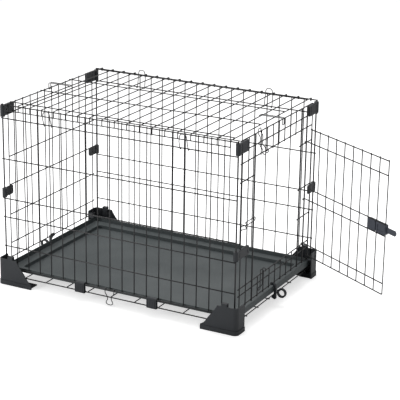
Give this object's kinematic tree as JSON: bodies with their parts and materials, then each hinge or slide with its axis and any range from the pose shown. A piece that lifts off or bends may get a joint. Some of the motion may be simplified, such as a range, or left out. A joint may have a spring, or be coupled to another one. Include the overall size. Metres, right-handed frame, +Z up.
{
  "type": "dog cage",
  "caption": "Wire dog cage with a hinged lid, an end door with a slide latch, corner feet and a plastic floor tray.",
  "frame": {"origin": "the floor point under the middle of the cage", "axes": "+X runs along the long side towards the door end, +Y towards the lid hinge at the back, +Z up"},
  "size_m": [1.3431, 0.632, 0.6477],
  "materials": {
    "black_wire": "satin powder coat",
    "clip_wire": "satin powder coat",
    "corner_plastic": "fine moulded grain",
    "tray_plastic": "fine moulded grain",
    "latch_plastic": "fine moulded grain"
  },
  "bodies": {
    "cage": {"front_panel": "black_wire", "back_panel": "black_wire", "left_end_panel": "black_wire", "door_end_panel": "black_wire", "base_grid": "black_wire", "tray": "tray_plastic", "latch_keeper": "black_wire", "foot_front_left": "corner_plastic", "foot_front_right": "corner_plastic", "foot_back_left": "corner_plastic", "foot_back_right": "corner_plastic", "top_connector_front_left": "corner_plastic", "top_connector_front_right": "corner_plastic", "top_connector_back_left": "corner_plastic", "top_connector_back_right": "corner_plastic", "side_connector_front_left": "corner_plastic", "side_connector_front_right": "corner_plastic", "side_connector_back_left": "corner_plastic", "side_connector_back_right": "corner_plastic", "base_clip_front_left": "corner_plastic", "base_clip_front_right": "corner_plastic", "base_clip_back_left": "corner_plastic", "base_clip_back_right": "corner_plastic"},
    "lid": {"top_lid": "black_wire"},
    "hook_right": {"lid_hook_right": "clip_wire"},
    "hook_left": {"lid_hook_left": "clip_wire"},
    "door": {"door_panel": "black_wire", "door_latch_housing": "latch_plastic"},
    "bolt": {"door_latch_bolt": "latch_plastic"},
    "upper_hook": {"upper_door_hook": "black_wire"},
    "lower_hook": {"lower_door_hook": "black_wire"},
    "clip_front_left": {"wire_clip_front_left": "clip_wire"},
    "clip_front_right": {"wire_clip_front_right": "clip_wire"},
    "clip_back_left": {"wire_clip_back_left": "clip_wire"},
    "clip_back_right": {"wire_clip_back_right": "clip_wire"},
    "clip_base_front": {"wire_clip_base_front": "clip_wire"},
    "latch_left": {"end_latch_left": "corner_plastic"},
    "latch_right": {"end_latch_right": "corner_plastic"}
  },
  "joints": [
    {"name": "lid_hinge", "type": "hinge", "parent": "cage", "child": "lid", "pos_m": [0, 0.2978, 0.632], "axis": [-1, 0, 0], "range_deg": [0, 105]},
    {"name": "lid_hook_right_hinge", "type": "hinge", "parent": "lid", "child": "hook_right", "pos_m": [0.368, 0.006, 0.63641], "axis": [0, -1, 0], "range_deg": [0, 110]},
    {"name": "lid_hook_left_hinge", "type": "hinge", "parent": "lid", "child": "hook_left", "pos_m": [-0.368, 0.006, 0.63641], "axis": [0, 1, 0], "range_deg": [0, 110]},
    {"name": "door_hinge", "type": "hinge", "parent": "cage", "child": "door", "pos_m": [0.4378, 0.219, 0.328], "axis": [0, 0, 1], "range_deg": [-60, 80]},
    {"name": "latch_bolt_slide", "type": "slide", "parent": "door", "child": "bolt", "axis": [0.866, -0.5, 0], "range_m": [-0.03, 0]},
    {"name": "upper_hook_slide", "type": "slide", "parent": "cage", "child": "upper_hook", "axis": [0, 0, -1], "range_m": [0, 0.018]},
    {"name": "lower_hook_slide", "type": "slide", "parent": "cage", "child": "lower_hook", "axis": [0, 0, -1], "range_m": [0, 0.012]},
    {"name": "front_clip_left_hinge", "type": "hinge", "parent": "cage", "child": "clip_front_left", "pos_m": [-0.253, -0.2978, 0.586], "axis": [1, 0, 0], "range_deg": [0, 120]},
    {"name": "back_clip_left_hinge", "type": "hinge", "parent": "cage", "child": "clip_back_left", "pos_m": [-0.253, 0.2978, 0.586], "axis": [-1, 0, 0], "range_deg": [0, 120]},
    {"name": "front_clip_right_hinge", "type": "hinge", "parent": "cage", "child": "clip_front_right", "pos_m": [0.253, -0.2978, 0.586], "axis": [1, 0, 0], "range_deg": [0, 120]},
    {"name": "back_clip_right_hinge", "type": "hinge", "parent": "cage", "child": "clip_back_right", "pos_m": [0.253, 0.2978, 0.586], "axis": [-1, 0, 0], "range_deg": [0, 120]},
    {"name": "base_clip_hinge", "type": "hinge", "parent": "cage", "child": "clip_base_front", "pos_m": [-0.021, -0.2978, 0.057], "axis": [-1, 0, 0], "range_deg": [0, 100]},
    {"name": "end_latch_right_hinge", "type": "hinge", "parent": "cage", "child": "latch_right", "pos_m": [0.4332, -0.01, 0.072], "axis": [0, -1, 0], "range_deg": [0, 60]},
    {"name": "end_latch_left_hinge", "type": "hinge", "parent": "cage", "child": "latch_left", "pos_m": [-0.4332, -0.01, 0.086], "axis": [0, 1, 0], "range_deg": [0, 60]}
  ]
}
